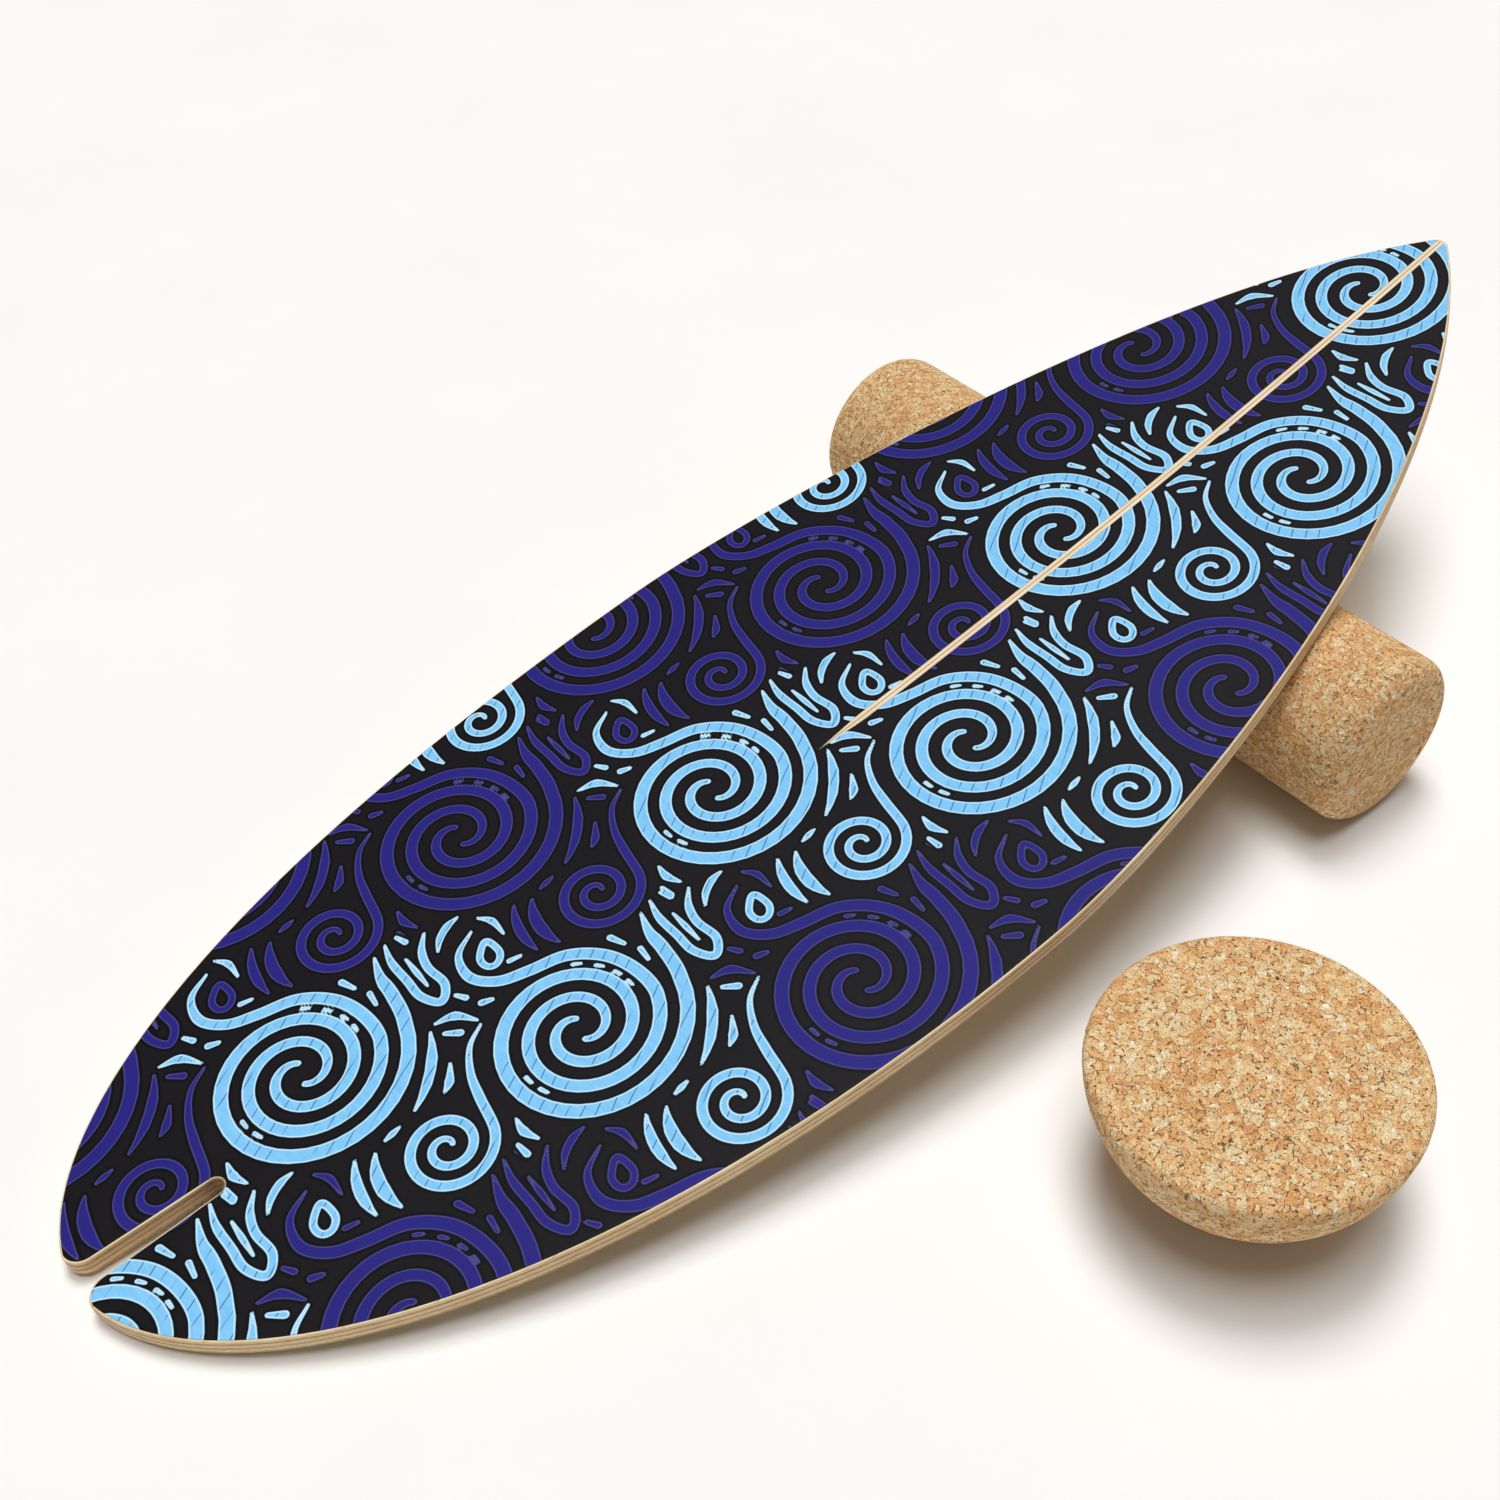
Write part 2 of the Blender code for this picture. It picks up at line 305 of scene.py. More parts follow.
def edge_inset(depth):
    """How far the board's edge is worn back at a depth: a quarter round at the top and a larger one
    at the bottom."""
    above = np.clip(TOP_ROUND - (depth - FILM), 0.0, TOP_ROUND)
    below = np.clip(depth - (THICKNESS - BOTTOM_ROUND), 0.0, BOTTOM_ROUND)
    top = TOP_ROUND - np.sqrt(TOP_ROUND ** 2 - above ** 2)
    return top + BOTTOM_ROUND - np.sqrt(BOTTOM_ROUND ** 2 - below ** 2)


# ---------------------------------------------------------------- materials

def colour(red, green, blue):
    """A colour given in display values from 0 to 255, as the linear values that a shader takes."""
    value = np.array((red, green, blue)) / 255
    return (*np.where(value < 0.04045, value / 12.92, ((value + 0.055) / 1.055) ** 2.4).tolist(), 1.0)


class Number:
    """A socket that carries a number. An operator on it adds a Math node."""

    def __init__(self, finish, socket):
        self.finish = finish
        self.socket = socket

    def math(self, operation, *values):
        settings = {"operation": operation}
        return Number(self.finish, self.finish.node("ShaderNodeMath", settings, dict(enumerate(values))))

    def __add__(self, other):
        return self.math("ADD", self, other)

    def __sub__(self, other):
        return self.math("SUBTRACT", self, other)

    def __rsub__(self, other):
        return self.math("SUBTRACT", other, self)

    def __mul__(self, other):
        return self.math("MULTIPLY", self, other)

    def __truediv__(self, other):
        return self.math("DIVIDE", self, other)

    def __lt__(self, other):
        return self.math("LESS_THAN", self, other)

    def __gt__(self, other):
        return self.math("GREATER_THAN", self, other)

    def __abs__(self):
        return self.math("ABSOLUTE", self)

    __radd__ = __add__
    __rmul__ = __mul__


class Finish:
    """A material on the Principled shader, with a few words for the patterns it is made of."""

    def __init__(self, name, **constants):
        self.material = bpy.data.materials.new(name)
        self.material.use_nodes = True
        self.tree = self.material.node_tree
        self.shader = self.tree.nodes["Principled BSDF"]
        for socket, value in constants.items():
            self.shader.inputs[socket.replace("_", " ")].default_value = value

    def node(self, kind, settings, inputs, output=0):
        """Add a node of a kind: its settings first, then its sockets' values or links."""
        made = self.tree.nodes.new(kind)
        for key, value in settings.items():
            setattr(made, key, value)
        for key, value in inputs.items():
            self.feed(made.inputs[key], value)
        return made.outputs[output]

    def feed(self, socket, value):
        """Link a socket to a number or another socket, or set its value."""
        value = value.socket if isinstance(value, Number) else value
        if isinstance(value, bpy.types.NodeSocket):
            self.tree.links.new(value, socket)
        else:
            socket.default_value = value

    def set(self, **inputs):
        """Feed the shader's own sockets."""
        for key, value in inputs.items():
            self.feed(self.shader.inputs[key.replace("_", " ")], value)

    def attribute(self, name, output):
        return self.node("ShaderNodeAttribute", {"attribute_name": name}, {}, output)

    def part(self, kind, source, which):
        """One number of three: kind is XYZ for those of a vector, Color for those of a colour."""
        return Number(self, self.node("ShaderNodeSeparate" + kind, {}, {0: source}, which))

    def object_place(self):
        return self.node("ShaderNodeTexCoord", {}, {}, "Object")

    def stretched(self, vector, x, y, z):
        return self.node("ShaderNodeVectorMath", {"operation": "MULTIPLY"}, {0: vector, 1: (x, y, z)})

    def noise(self, vector, scale, detail, roughness=0.5, distortion=0.0):
        inputs = {"Vector": vector, "Scale": scale, "Detail": detail, "Roughness": roughness,
                  "Distortion": distortion}
        return Number(self, self.node("ShaderNodeTexNoise", {}, inputs))

    def wobbled(self, vector, scale, amount):
        """The vector shifted a little by a colour noise of its own."""
        noise = self.node("ShaderNodeTexNoise", {}, {"Vector": vector, "Scale": scale, "Detail": 2.0}, 1)
        shift = self.node("ShaderNodeVectorMath", {"operation": "SUBTRACT"}, {0: noise, 1: (0.5, 0.5, 0.5)})
        shift = self.node("ShaderNodeVectorMath", {"operation": "SCALE"}, {0: shift, "Scale": amount})
        return self.node("ShaderNodeVectorMath", {"operation": "ADD"}, {0: vector, 1: shift})

    def cells(self, vector, scale, feature="F1", output="Distance"):
        inputs = {"Vector": vector, "Scale": scale}
        return self.node("ShaderNodeTexVoronoi", {"feature": feature}, inputs, output)

    def cell_tone(self, vector, scale, which):
        """A chance value for each cell: one number of its chance colour."""
        return self.part("Color", self.cells(vector, scale, output="Color"), which)

    def cell_gap(self, vector, scale):
        """How far a place is from the nearest border between cells, as a share of a cell."""
        return Number(self, self.cells(vector, scale, "DISTANCE_TO_EDGE"))

    def rise(self, value, low, high):
        """Zero below low, one above high, and a smooth step between them."""
        inputs = {"Value": value, "From Min": low, "From Max": high}
        return Number(self, self.node("ShaderNodeMapRange", {"interpolation_type": "SMOOTHSTEP"}, inputs))

    def mix(self, share, under, over):
        """The colour that goes from one to the other as the share goes from 0 to 1."""
        return self.node("ShaderNodeMix", {"data_type": "RGBA"}, {0: share, 6: under, 7: over}, 2)

    def ramp(self, value, *stops):
        """A colour for each value, from stops of position and colour."""
        made = self.tree.nodes.new("ShaderNodeValToRGB")
        elements = made.color_ramp.elements  # an added stop's position is set below
        while len(elements) < len(stops):
            elements.new(0.5)
        for element, (position, tint) in zip(elements, stops):
            element.position = position
            element.color = tint
        self.feed(made.inputs[0], value)
        return made.outputs[0]

    def bump(self, height, distance, strength):
        return self.node("ShaderNodeBump", {}, {"Height": height, "Distance": distance, "Strength": strength})


GRAIN_ALONG = 9.0
GRAIN_ACROSS = 260.0
GRAIN_DEPTH = 420.0
PORE_SHARE = 3.1
GLUE_NEAR = 0.40
GLUE_FULL = 0.48
GLUE_TOP = (FILM + 0.0009, FILM + 0.0012)
GLUE_BOTTOM = (THICKNESS - 0.0012, THICKNESS - 0.0009)
SLOT_END_DARK_FADE = (0.001, 0.014)
SLOT_END_DARK_HALF_WIDTH = 0.007


def veneer_finish(name, pale, deep, cross, roughness):
    """Wood veneer. The grain is a noise drawn out along the board, or across it in a cross ply, with
    finer dark pores in it. A dark line of glue runs where two plies meet, and the wood is darker
    towards the closed end of the slot."""
    finish = Finish(name, IOR=1.45)
    vector = finish.attribute("place", "Vector")
    station, offset, depth = (finish.part("XYZ", vector, k) for k in range(3))
    draw = (GRAIN_ACROSS, GRAIN_ALONG, GRAIN_DEPTH) if cross else (GRAIN_ALONG, GRAIN_ACROSS, GRAIN_DEPTH)
    grain = finish.noise(finish.stretched(vector, *draw), 1.0, 5.0, 0.62, 0.25)
    pores = finish.noise(finish.stretched(vector, *(PORE_SHARE * d for d in draw)), 1.0, 3.0, 0.6)
    drift = finish.noise(vector, 11.0, 2.0)
    tone = grain * 0.75 + drift * 0.45 - 0.10
    wood = finish.mix(finish.rise(tone, 0.30, 0.72), deep, pale)
    wood = finish.mix(finish.rise(pores, 0.60, 0.74) * 0.55, wood, colour(128, 92, 54))
    turn = (depth - (FILM + PITCH / 2)) / PITCH
    seam = abs(turn - turn.math("FLOOR", turn) - 0.5)
    glue = finish.rise(seam, GLUE_NEAR, GLUE_FULL) * finish.rise(depth, *GLUE_TOP)
    glue = glue * (1 - finish.rise(depth, *GLUE_BOTTOM))
    wood = finish.mix(glue * 0.70, wood, colour(128, 86, 50))
    # The wood turns darker, with a mottle, within a few millimetres of the slot's closed end
    slot_end_dark = (1 - finish.rise(abs(station - SLOT_END), *SLOT_END_DARK_FADE)) * (abs(offset) < SLOT_END_DARK_HALF_WIDTH)
    slot_end_mottle = finish.noise(vector, 300.0, 2.0)
    wood = finish.mix(slot_end_dark * (0.25 + slot_end_mottle * 0.5), wood, colour(112, 74, 46))
    rough = roughness + (0.5 - grain) * 0.25
    finish.set(Base_Color=wood, Roughness=rough, Normal=finish.bump(grain + pores * 0.6, 0.00012, 0.6))
    return finish.material


# Millimetres from a stroke's edge, less than zero inside it
PRINT_EDGE = (-0.22, 0.22)
KEYLINE = (1.1, 1.9)
KEYLINE_OVER_INDIGO = (1.3, 1.9)
INDIGO_RIM = (-0.75, -0.40)
BLUE_RIM = (-1.0, -0.6)
# Fine slanted lines in the blue: turns per metre, and their width as a share of a turn
HATCH_ACROSS = 132.0
HATCH_ALONG = 74.0
HATCH_WIDTH = (0.030, 0.062)


def print_finish():
    """The printed film. Two stored numbers, `light` and `dark`, are millimetres from the pale blue and
    the indigo strokes, less than zero inside them. Steps on them give the fill, a pale rim inside
    the edge and a black keyline outside it. Broken slanted lines hatch the blue."""
    finish = Finish("printed_film", IOR=1.45, Specular_IOR_Level=0.09)
    vector = finish.attribute("place", "Vector")
    station, offset = (finish.part("XYZ", vector, k) for k in range(2))
    light = Number(finish, finish.attribute("light", "Fac"))
    dark = Number(finish, finish.attribute("dark", "Fac"))
    near = light.math("MINIMUM", light, dark)
    weave = finish.noise(finish.stretched(vector, 1.0, 6.0, 1.0), 260.0, 3.0)
    clouds = finish.noise(vector, 16.0, 3.0)

    ground = finish.mix(clouds, colour(13, 13, 18), colour(28, 24, 28))
    ink = finish.mix(finish.rise(near, *KEYLINE), colour(8, 9, 14), ground)

    indigo = finish.mix(weave * 0.5 + clouds * 0.5, colour(30, 26, 112), colour(46, 42, 140))
    indigo = finish.mix(finish.rise(dark, *INDIGO_RIM), indigo, colour(74, 70, 134))
    indigo_share = (1 - finish.rise(dark, *PRINT_EDGE)) * finish.rise(light, *KEYLINE_OVER_INDIGO)
    ink = finish.mix(indigo_share, ink, indigo)

    wisps = finish.noise(finish.stretched(finish.wobbled(vector, 60.0, 0.004), 1.0, 0.25, 1.0), 420.0, 4.0)
    blue = finish.mix(wisps, colour(104, 184, 242), colour(152, 216, 253))
    slant = offset * HATCH_ACROSS - station * HATCH_ALONG + clouds * 0.9
    hatch = abs(slant - slant.math("FLOOR", slant) - 0.5)
    faded = finish.rise(finish.noise(vector, 42.0, 1.0), 0.36, 0.52)
    blue = finish.mix((1 - finish.rise(hatch, *HATCH_WIDTH)) * faded * 0.8, blue, colour(30, 88, 142))
    blue = finish.mix(finish.rise(light, *BLUE_RIM), blue, colour(190, 232, 254))
    ink = finish.mix(1 - finish.rise(light, *PRINT_EDGE), ink, blue)

    rough = 0.42 + weave * 0.10
    raised = (1 - finish.rise(near, -0.4, 0.6)) * 0.6 + weave * 0.12
    finish.set(Base_Color=ink, Roughness=rough, Normal=finish.bump(raised, 0.00008, 0.5))
    return finish.material


JOINT_LINE = (0.00022, 0.00042)
STRIP_EDGE = (0.0019, 0.0023)


def stringer_finish():
    """Pale strip of maple in two halves with a fine dark joint along the middle and darker edges."""
    finish = Finish("stringer_wood", IOR=1.45)
    vector = finish.attribute("place", "Vector")
    offset = finish.part("XYZ", vector, 1)
    grain = finish.noise(finish.stretched(vector, 14.0, 900.0, 200.0), 1.0, 4.0, 0.6)
    wood = finish.mix(finish.rise(grain, 0.3, 0.75), colour(226, 196, 150), colour(254, 240, 212))
    joint = 1 - finish.rise(abs(offset), *JOINT_LINE)
    wood = finish.mix(joint * 0.75, wood, colour(120, 84, 48))
    edge = finish.rise(abs(offset), *STRIP_EDGE)
    wood = finish.mix(edge * 0.35, wood, colour(150, 112, 70))
    finish.set(Base_Color=wood, Roughness=0.42 + grain * 0.15, Normal=finish.bump(grain, 0.00006, 0.5))
    return finish.material


CORK_LIFT = 0.0005
FINE_CRUMBS = 2.4


def cork_finish(name, grain_size):
    """Pressed cork: crumbs of two sizes, each with a tone of its own, and fibre within them. Thin dark
    cracks run through it and where crumbs meet, but only in patches, so that they break up. Cream
    flakes and dark specks of bark lie over it."""
    finish = Finish(name, IOR=1.4)
    finish.set(Specular_IOR_Level=0.25)
    place = finish.object_place()
    bent = finish.wobbled(place, 0.9 / grain_size, grain_size * 1.5)
    tone = finish.cell_tone(bent, 1 / grain_size, 0)
    small = finish.cell_tone(bent, FINE_CRUMBS / grain_size, 1)
    gap = finish.cell_gap(bent, 1 / grain_size)
    fine_gap = finish.cell_gap(bent, FINE_CRUMBS / grain_size)
    patches = finish.noise(place, 28.0, 3.0)
    fibre = finish.noise(finish.wobbled(place, 260.0, 0.004), 1150.0, 5.0, 0.75, 0.6)
    streaks = finish.noise(finish.wobbled(place, 340.0, 0.006), 360.0, 3.0, 0.65, 2.0)

    shade = tone * 0.55 + small * 0.25 + fibre * 0.55 + patches * 0.25 - 0.32
    cork = finish.ramp(shade, (0.0, colour(218, 148, 90)), (0.25, colour(240, 182, 120)),
                       (0.45, colour(255, 207, 147)), (0.65, colour(255, 224, 168)),
                       (0.9, colour(255, 240, 198)))
    crack = colour(92, 50, 24)
    broken = finish.noise(place, 440.0, 2.0)
    streak = (1 - finish.rise(abs(streaks - 0.5), 0.007, 0.020)) * finish.rise(broken, 0.55, 0.49)
    cork = finish.mix(streak * 0.9, cork, crack)
    fine_crack = (1 - finish.rise(fine_gap, 0.03, 0.12)) * finish.rise(broken, 0.50, 0.55)
    cork = finish.mix(fine_crack * 0.4, cork, colour(116, 66, 32))
    wide_crack = (1 - finish.rise(gap, 0.020, 0.075)) * finish.rise(broken, 0.48, 0.53)
    cork = finish.mix(wide_crack * 0.85, cork, crack)
    flakes = (small > 0.95) * (tone > 0.55)
    cork = finish.mix(flakes * 0.85, cork, colour(255, 246, 226))
    speck = Number(finish, finish.cells(finish.wobbled(place, 500.0, 0.0016), 1.0 / (grain_size * 0.75)))
    chosen = finish.noise(place, 620.0, 2.0)
    bark = (1 - finish.rise(speck, 0.12, 0.22)) * finish.rise(chosen, 0.50, 0.58)
    cork = finish.mix(bark * 0.92, cork, colour(54, 30, 18))
    height = finish.rise(fine_gap, 0.0, 0.12) * 0.5 + tone * 0.5 + fibre * 0.6 - bark * 0.8
    finish.set(Base_Color=cork, Roughness=0.86 - flakes * 0.1, Normal=finish.bump(height, CORK_LIFT, 0.8))
    return finish.material


def floor_finish():
    """Pale floor with a very faint mottle."""
    finish = Finish("floor", Roughness=0.9)
    finish.set(Specular_IOR_Level=0.1)
    mottle = finish.noise(finish.object_place(), 5.0, 4.0, 0.6)
    finish.set(Base_Color=finish.mix(mottle, colour(245, 244, 242), colour(252, 251, 250)))
    return finish.material


# ---------------------------------------------------------------- print

# The motifs' lattice on the deck, in metres of station and offset
ORIGIN = np.array([-0.3512, 0.0257])
STEP_A = np.array([0.1142, -0.0748])
STEP_B = np.array([0.1373, 0.0698])
COUNT_A = range(-2, 7)
COUNT_B = range(-3, 6)
BAND = 4
REACH = 0.125
HALO = 7.0  # millimetres from a stroke beyond which the distance is not told


def coil(centre, inner, outer, start, turns):
    """A spiral in millimetres whose radius grows evenly with its angle, from a start in degrees."""
    t = np.linspace(0.0, 1.0, int(abs(turns) * 36) + 4)
    angle = np.radians(start + 360 * turns * t)
    radius = inner + (outer - inner) * t
    return np.stack([centre[0] + radius * np.cos(angle), centre[1] + radius * np.sin(angle)], axis=1)


def sweep(*points, steps=7):
    """A curve through the points. Between two of them it is the cubic whose slope at each point is
    half the step between that point's neighbours."""
    p = np.array(points, float)
    p = np.vstack([2 * p[0] - p[1], p, 2 * p[-1] - p[-2]])
    a, b, c, d = (p[k:len(p) - 3 + k, None] for k in range(4))
    t = np.linspace(0.0, 1.0, steps, endpoint=False)[None, :, None]
    bend = (2 * a - 5 * b + 4 * c - d) / 2 * t ** 2 + (3 * b - a - 3 * c + d) / 2 * t ** 3
    return np.vstack([(b + (c - a) / 2 * t + bend).reshape(-1, 2), p[-2]])


def trail(path, *points, steps=7):
    """A path that runs on smoothly through more points."""
    return np.vstack([path[:-1], sweep(path[-4], path[-1], *points, steps=steps)[steps:]])


def ring(centre, across, along, turn, point):
    """A closed oval drawn out to a tip: its long radius grows, and its short one shrinks, with the
    cosine of the angle from the tip."""
    angle = np.radians(np.linspace(0, 360, 29))
    lead = np.maximum(np.cos(angle), 0)
    x = along * np.cos(angle) * (1 + point * lead ** 3)
    y = across * np.sin(angle) * (1 - 0.5 * point * lead)
    c, s = math.cos(math.radians(turn)), math.sin(math.radians(turn))
    return np.stack([centre[0] + x * c - y * s, centre[1] + x * s + y * c], axis=1)


# Paths in millimetres from the middle of the motif, each with half widths at even steps along it
MOTIF = (
    # large double coil and its two tails
    (trail(coil((0, 0), 6.5, 54, 75, 1.76), (57, 8), (58, 21), (62, 34)),
     (1.6, 2.7, 3.1, 3.3, 3.5, 3.7, 3.8, 3.7, 3.4, 0.8)),
    (trail(coil((0, 0), 6.5, 40.2, 255, 1.25), (40, 8), (34, 26), (20, 40), (1, 46), (-14, 52), (-23, 64),
           (-20, 79), (-7, 87)),
     (1.6, 2.7, 3.2, 3.4, 3.5, 3.5, 3.3, 2.7, 0.8)),
    # beads between its arms
    *((coil((0, 0), 33.0 + turn * 0.094, 33.3 + turn * 0.094, turn, 0.018), (0.9, 1.2))
      for turn in (4, 19, 36, 54)),
    *((coil((0, 0), 22.0 + turn * 0.07, 22.5 + turn * 0.07, turn, 0.02), (1.2, 1.0))
      for turn in (186, 202)),
    # small coil and its tail
    (trail(coil((31, -84), 3, 23, 0, 1.95), (57, -72), (61, -58), (69, -45), (80, -38)),
     (1.3, 2.2, 2.5, 2.7, 2.5, 0.8)),
    # crescents beside the coils
    (coil((0, 0), 64, 64, -62, 0.11), (0.8, 2.6, 2.8, 0.8)),
    (coil((31, -84), 34, 34, 142, 0.16), (0.8, 3.2, 3.4, 0.8)),
    (coil((31, -84), 43.5, 43.5, 146, 0.12), (0.8, 2.6, 2.8, 0.8)),
    # hairpin and the sliver inside it
    (sweep((70, 37), (67, 25), (67, 10), (67, -3), (73, -13), (80, -5), (79, 9), (82, 20), (89, 29)),
     (0.8, 2.2, 2.3, 2.3, 2.3, 2.3, 2.2, 0.8)),
    (sweep((73.5, 22), (73, 0)), (0.8, 1.7, 0.8)),
    # ring
    (ring((106, -7), 5.2, 7.0, 70, 0.35), (1.9, 1.9)),
    # slivers
    (sweep((-51, -19), (-52, -27), (-49, -35)), (0.8, 2.4, 0.8)),
    (sweep((-51, 53), (-41, 50), (-34, 40)), (0.8, 2.6, 0.8)),
    (sweep((88, 14), (93, 20), (100, 24), (107, 25)), (0.8, 2.0, 2.2, 0.8)),
    (sweep((11, -60.5), (20, -59)), (0.8, 1.8, 0.8)),
    (sweep((46, -58), (51, -54.5), (57, -46)), (0.8, 2.4, 0.8)),
    (sweep((0, 92), (4.5, 85), (4.5, 74)), (0.8, 2.0, 0.8)),
    # seeds
    (sweep((-34, 60), (-31, 55)), (1.2, 1.7)),
    (sweep((45, 25), (42, 33)), (1.2, 1.9)),
    (sweep((48, 9), (49, 17)), (1.2, 1.6)),
    (sweep((-27, 47), (-22, 45)), (1.9, 1.3)),
    (sweep((-58, -31), (-57.5, -38)), (1.2, 1.8)),
    (sweep((-3, 58), (3, 56.5)), (1.5, 1.1)),
    (sweep((77, 37), (79, 31)), (1.2, 1.7)),
    (sweep((64, -30), (70, -35)), (1.3, 2.0)),
)


def stroke_gap(places, path, widths):
    """Millimetres from each place to a stroke's edge: the least, over the path's short segments, of the
    distance to the segment less the half width at the segment's nearest point."""
    half = np.interp(np.linspace(0, 1, len(path)), np.linspace(0, 1, len(widths)), widths)
    start, step = path[:-1], np.diff(path, axis=0)
    reach = places[:, None] - start
    along = np.clip((reach * step).sum(-1) / (step ** 2).sum(-1), 0, 1)
    gap = np.linalg.norm(reach - along[..., None] * step, axis=-1) - half[:-1] - along * np.diff(half)
    return gap.min(axis=1)


def stroke_field(place, pale):
    """Millimetres from each place on the deck to the nearest stroke, for the motifs of one colour. They
    stand on a slanted lattice, and the colour goes in pairs of diagonals."""
    flat = place[:, :2]
    nearest = np.full(len(flat), HALO)
    for i in COUNT_A:
        for j in COUNT_B:
            local = (flat - (ORIGIN + i * STEP_A + j * STEP_B)) * 1000
            close = np.flatnonzero((np.abs(local) < REACH * 1000).all(axis=1))
            if ((i - j) % BAND in (0, 1)) != pale or not len(close):
                continue
            for path, widths in MOTIF:
                margin = HALO + max(widths)
                low, high = path.min(axis=0) - margin, path.max(axis=0) + margin
                hit = close[((local[close] > low) & (local[close] < high)).all(axis=1)]
                if len(hit):
                    nearest[hit] = np.minimum(nearest[hit], stroke_gap(local[hit], path, widths))
    return nearest


# ---------------------------------------------------------------- board pieces

def ply_rows(inset):
    """The board's rows at the plies' spacing."""
    return board_rows(inset, PLY_SPACING)


# Each kind of ply: its slot, then its pale and deep colours, whether it is laid across, its roughness
VENEERS = {
    "face": ("face_veneer", (colour(244, 226, 188), colour(222, 190, 140), False, 0.50)),
    "cross": ("cross_veneer", (colour(222, 184, 128), colour(188, 144, 92), True, 0.62)),
    "long": ("long_veneer", (colour(250, 232, 194), colour(228, 198, 150), False, 0.55)),
    "core": ("cross_veneer", (colour(226, 192, 138), colour(196, 154, 100), True, 0.62)),
}
for order, name in enumerate(PLIES):
    kind = name.split("_")[-1]
    slot, look = VENEERS[kind]
    top = FILM + order * PITCH + SEAM
    bottom = FILM + (order + 1) * PITCH - (SEAM if order < len(PLIES) - 1 else 0.0)
    levels = np.linspace(top, bottom, ROUNDED_LEVELS if order in ROUNDED_PLIES else PLAIN_LEVELS)
    veneer = layer(name.replace("ply", "veneer"), levels, edge_inset(levels), slot_half, outer_half,
                   ply_rows, PLY_COLUMNS)
    veneer.data.materials.append(veneer_finish("veneer_" + kind + "_" + str(order + 1), *look))
    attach(veneer, "board")
    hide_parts(name)


def film_inner(station, inset):
    """The film's inner half width: the slot's, or the stringer's with its fine joint."""
    groove = np.where(station > STRINGER_END, stringer_half(station) + STRINGER_JOINT, 0.0)
    return np.maximum(slot_half(station, inset), groove)


def film_rows(inset):
    """The board's rows, held back to where the rounded nose is as narrow as the stringer."""
    reach = math.sqrt((NOSE_RADIUS - inset) ** 2 - (STRINGER_HALF + STRINGER_JOINT) ** 2)
    return np.minimum(board_rows(inset, FILM_SPACING), NOSE - NOSE_RADIUS + reach)


quarter = np.linspace(0.0, np.pi / 2, FILM_ROUND_POINTS)
film_levels = np.append(FILM_ROUND * (1 - np.cos(quarter)), FILM)
film_insets = np.append(FILM_INSET + FILM_ROUND * (1 - np.sin(quarter)), FILM_INSET)
film_finish = print_finish()
for name, side in (("deck_film_left", 1), ("deck_film_right", -1)):
    film = layer(name, film_levels, film_insets, film_inner, outer_half, film_rows,
                 np.linspace(0.0, 1.0, FILM_COLUMNS), (side,))
    where = board_place(mesh_points(film))
    store(film, "light", stroke_field(where, True))
    store(film, "dark", stroke_field(where, False))
    film.data.materials.append(film_finish)
    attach(film, "board")
    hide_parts("deck_print")


def strip_outer(station, inset):
    """The stringer's half width, which the rounded nose cuts off."""
    return np.minimum(stringer_half(station), outer_half(station, inset))


def strip_rows(inset):
    """The stringer's stations: even steps, and finer ones round the nose."""
    ease = 1 - np.cos(np.linspace(0.0, np.pi / 2, 2 * ROUND_STEPS + 1))
    nose = NOSE - inset - (NOSE_RADIUS - inset) * ease[::-1]
    return np.concatenate([np.linspace(STRINGER_END, nose[0], STRINGER_ROWS)[:-1], nose])


def no_width(station, inset):
    """The inner half width of a layer that is whole across the centreline."""
    return np.zeros_like(station)


strip = layer("stringer_strip", film_levels, film_insets + STRINGER_SETBACK, no_width, strip_outer,
              strip_rows, STRINGER_COLUMNS)
strip.data.materials.append(stringer_finish())
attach(strip, "board")
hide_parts("deck_stringer")


# ---------------------------------------------------------------- cork pieces

CORNER_KEYS = np.array([73856093, 19349663, 83492791])
SEED_KEY = 2654435761
MIXING_KEY = 1274126177


def lump(points, size, seed):
    """Smooth chance values from 0 to 1: a random number at each corner of a lattice of cubes of that
    size, mixed between the corners by a smooth step."""
    scaled = points / size
    base = np.floor(scaled).astype(np.int64)
    share = scaled - base
    share = share * share * (3 - 2 * share)
    total = np.zeros(len(points))
    for corner in np.ndindex(2, 2, 2):
        key = (base + corner) * CORNER_KEYS
        mixed = (key[:, 0] ^ key[:, 1] ^ key[:, 2]) + seed * SEED_KEY
        mixed = (mixed ^ (mixed >> 13)) * MIXING_KEY & 0xFFFFFFFF
        chance = (mixed ^ (mixed >> 16)) % 65536 / 65535
        weight = np.prod(np.where(np.array(corner) == 1, share, 1 - share), axis=1)
        total += chance * weight
    return total


def arc(centre, radius, start, end):
    """Points along an arc in steps of the cork's step, with angles in degrees from straight out."""
    count = max(int(abs(math.radians(end - start)) * radius / CORK_STEP), 8)
    angle = np.radians(np.linspace(start, end, count + 1))
    return np.stack([centre[0] + radius * np.cos(angle), centre[1] + radius * np.sin(angle)], axis=1)


def line(start, end):
    """Points along a straight line in steps of the cork's step."""
    start, end = np.array(start, float), np.array(end, float)
    count = max(int(np.linalg.norm(end - start) / CORK_STEP), 1)
    return start + (end - start) * np.linspace(0.0, 1.0, count + 1)[:, None]


